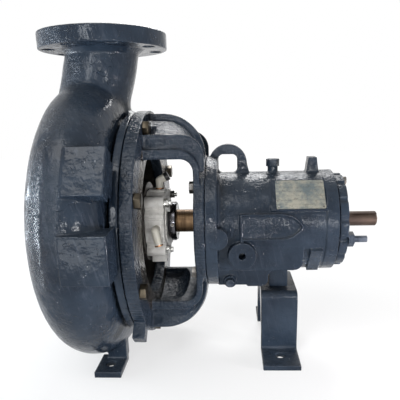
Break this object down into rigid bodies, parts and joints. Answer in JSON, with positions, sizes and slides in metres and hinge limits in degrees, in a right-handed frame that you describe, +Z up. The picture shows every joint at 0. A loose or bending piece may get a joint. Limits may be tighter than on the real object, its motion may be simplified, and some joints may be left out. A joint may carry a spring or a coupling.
{
  "type": "centrifugal pump",
  "caption": "End-suction centrifugal process pump with volute casing, open adapter, cartridge seal, bearing housing and rear foot.",
  "frame": {"origin": "on the floor, midway between the casing's two foot bolts, straight below the discharge's centre line", "axes": "+X along the shaft from the suction towards the coupling, +Z up along the discharge"},
  "size_m": [0.6223, 0.4969, 0.601],
  "materials": {
    "slate_enamel": "thick glossy enamel over rough castings",
    "bare_iron": "machined cast iron",
    "dark_steel": "dull zinc-plated steel",
    "old_brass_steel": "yellow passivated steel, worn",
    "stainless": "clean stainless steel",
    "cast_stainless": "bead-blasted stainless casting",
    "black_chrome": "polished dark metal",
    "bearing_steel": "ground bearing steel",
    "brown_shaft": "steel under a brown preservative film",
    "cream_plastic": "cream plastic",
    "white_plastic": "white plastic",
    "black_plastic": "black plastic",
    "copper": "dull copper",
    "carbon": "carbon seal face",
    "silicon_carbide": "silicon carbide seal face",
    "gasket": "fibre gasket",
    "rubber": "black rubber",
    "plate_aluminium": "etched plate, left blank"
  },
  "bodies": {
    "pump_frame": {"casing": "slate_enamel", "casing_gasket": "gasket", "rear_cover": "bare_iron", "adapter": "slate_enamel", "casing_screws": "old_brass_steel", "frame_bolts": "dark_steel", "bearing_housing": "slate_enamel", "nameplate": "plate_aluminium", "nameplate_pins": "stainless", "filler_plug": "slate_enamel", "drain_plug": "slate_enamel", "rear_foot": "slate_enamel", "foot_screws": "dark_steel", "seal_gland": "cast_stainless", "gland_gasket": "gasket", "gland_studs": "stainless", "gland_nuts": "stainless", "setting_clips": "white_plastic", "inboard_oil_seal": "bare_iron", "upper_flush_elbow": "cream_plastic", "upper_elbow_ring": "copper", "upper_elbow_cap": "black_plastic", "lower_flush_elbow": "cream_plastic", "lower_elbow_ring": "copper"},
    "axial_slide": {"radial_bearing_outer_ring": "bearing_steel", "stationary_seal_face": "silicon_carbide"},
    "carrier": {"bearing_carrier": "slate_enamel", "thrust_bearing_outer_ring": "bearing_steel", "thrust_snap_ring": "dark_steel", "carrier_o_ring": "rubber", "outboard_oil_seal": "bare_iron", "carrier_set_screws": "dark_steel", "carrier_stud": "slate_enamel", "carrier_stud_nut": "slate_enamel"},
    "rotor": {"shaft": "brown_shaft", "impeller": "cast_stainless", "impeller_o_ring": "rubber", "seal_sleeve": "stainless", "drive_collar": "black_chrome", "collar_screws": "dark_steel", "rotating_seal_face": "carbon", "radial_bearing_inner_ring": "bearing_steel", "thrust_bearing_inner_ring": "bearing_steel", "bearing_locknut": "dark_steel", "lock_washer": "dark_steel"},
    "radial_ball_set": {"radial_bearing_balls": "bearing_steel"},
    "thrust_ball_set": {"thrust_bearing_balls": "bearing_steel"}
  },
  "joints": [
    {"name": "impeller_setting", "type": "slide", "parent": "pump_frame", "child": "axial_slide", "axis": [1, 0, 0], "range_m": [-0.00065, 0.00065]},
    {"name": "carrier_turn", "type": "hinge", "parent": "axial_slide", "child": "carrier", "pos_m": [0.4, 0, 0.254], "axis": [1, 0, 0], "range_deg": [-150, 150]},
    {"name": "rotor_spin", "type": "hinge", "parent": "axial_slide", "child": "rotor", "pos_m": [0.2, 0, 0.254], "axis": [1, 0, 0], "continuous": true},
    {"name": "radial_balls_roll", "type": "hinge", "parent": "axial_slide", "child": "radial_ball_set", "pos_m": [0.2205, 0, 0.254], "axis": [1, 0, 0], "continuous": true},
    {"name": "thrust_balls_roll", "type": "hinge", "parent": "axial_slide", "child": "thrust_ball_set", "pos_m": [0.3942, 0, 0.254], "axis": [1, 0, 0], "continuous": true}
  ],
  "couplings": [
    {"joint": "impeller_setting", "follows": "carrier_turn", "m_per_rad": 0.00023873},
    {"joint": "radial_balls_roll", "follows": "rotor_spin", "ratio": 0.39375},
    {"joint": "thrust_balls_roll", "follows": "rotor_spin", "ratio": 0.40625}
  ]
}
